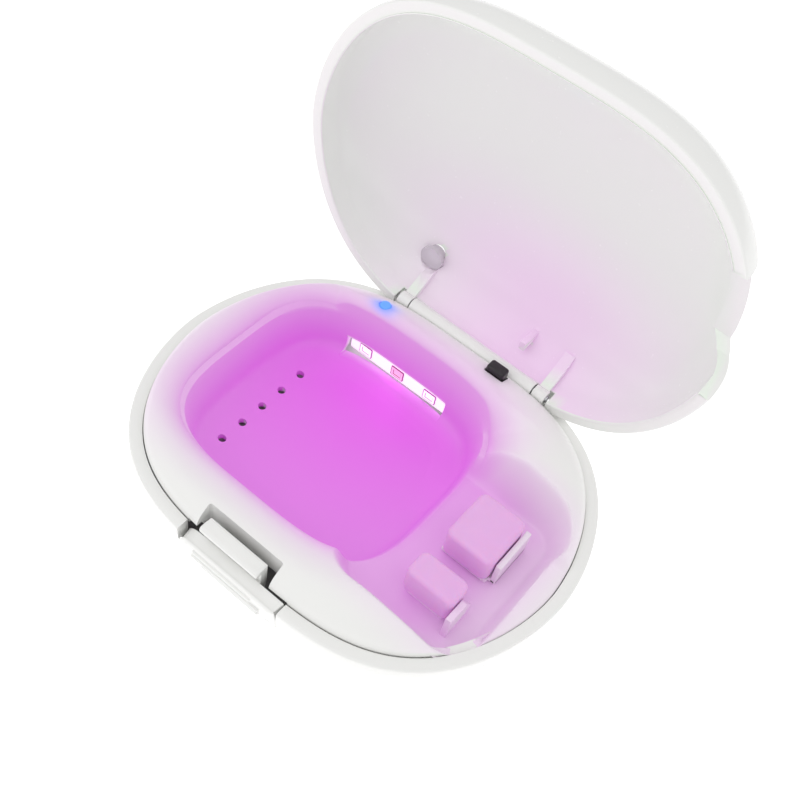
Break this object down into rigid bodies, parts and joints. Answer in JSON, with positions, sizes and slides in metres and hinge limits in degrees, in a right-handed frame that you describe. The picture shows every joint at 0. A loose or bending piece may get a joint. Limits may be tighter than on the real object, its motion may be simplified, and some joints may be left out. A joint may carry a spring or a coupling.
{
  "type": "toothbrush sanitizer",
  "caption": "Oval clam-shell case that clamps a toothbrush head under an ultraviolet lamp strip, with a push-button latch, sprung lid and stick-on wall bracket.",
  "frame": {"origin": "centre of the wall bracket's stick-on face, on the outer face of its release liner", "axes": "+X towards the end that the brush handle leaves by, +Y towards the hinge, +Z out of the wall towards the open case"},
  "size_m": [0.096, 0.0905, 0.1005],
  "materials": {
    "white_abs": "moulded white ABS, soft gloss",
    "clear_plastic": "clear moulded acrylic",
    "spring_steel": "drawn spring wire",
    "silicone": "soft white silicone, tinted pink by the lamp's light",
    "white_board": "white solder mask",
    "led": "clear lamp package, lit magenta",
    "circuit_board": "green solder mask",
    "black_plastic": "black moulded plastic",
    "blue_light": "clear light pipe, lit blue",
    "battery_wrap": "blue shrink film",
    "nickel": "nickel-plated steel shell",
    "screw_steel": "zinc-plated steel",
    "grey_rubber": "soft grey-beige rubber",
    "black_rubber": "black rubber",
    "black_foam": "closed-cell foam tape",
    "red_film": "red release film"
  },
  "bodies": {
    "bracket": {"wall_bracket": "white_abs", "bracket_bumper": "black_rubber", "adhesive_pad": "black_foam", "release_liner": "red_film"},
    "case": {"base_shell": "white_abs", "inner_tray": "white_abs", "hinge_pin": "spring_steel", "hinge_spring_left": "spring_steel", "hinge_spring_right": "spring_steel", "latch_spring": "spring_steel", "front_clamp_pad": "silicone", "clamp_spring": "spring_steel", "uv_led_board": "white_board", "uv_led_1": "led", "uv_led_2": "led", "uv_led_3": "led", "switch_board": "circuit_board", "lid_switch": "black_plastic", "indicator_led": "blue_light", "indicator_lens": "blue_light", "main_board": "circuit_board", "controller_chip": "black_plastic", "battery_cell": "battery_wrap", "charge_board": "circuit_board", "usb_c_port": "nickel", "case_screw_1": "screw_steel", "case_screw_2": "screw_steel", "rubber_plug_1": "grey_rubber", "rubber_plug_2": "grey_rubber"},
    "lid": {"lid_shell": "white_abs", "lid_window": "clear_plastic"},
    "button": {"latch_button": "white_abs"},
    "plunger": {"lid_switch_plunger": "black_plastic"},
    "clamp": {"rear_clamp_slider": "white_abs", "rear_clamp_pad": "silicone"}
  },
  "joints": [
    {"name": "bracket_slide", "type": "slide", "parent": "bracket", "child": "case", "axis": [-1, 0, 0], "range_m": [0, 0.034]},
    {"name": "lid_hinge", "type": "hinge", "parent": "case", "child": "lid", "pos_m": [0, 0.035, 0.02795], "axis": [1, 0, 0], "range_deg": [0, 90], "stiffness_Nm_per_rad": 0.006, "deforming": ["hinge_spring_left", "hinge_spring_right"]},
    {"name": "button_press", "type": "slide", "parent": "case", "child": "button", "axis": [0, 1, 0], "range_m": [0, 0.0015], "stiffness_N_per_m": 400, "deforming": ["latch_spring"]},
    {"name": "switch_press", "type": "slide", "parent": "case", "child": "plunger", "axis": [0, 0, -1], "range_m": [0, 0.0012], "stiffness_N_per_m": 500},
    {"name": "clamp_slide", "type": "slide", "parent": "case", "child": "clamp", "axis": [0, 1, 0], "range_m": [0, 0.004], "stiffness_N_per_m": 150, "deforming": ["clamp_spring"]}
  ]
}
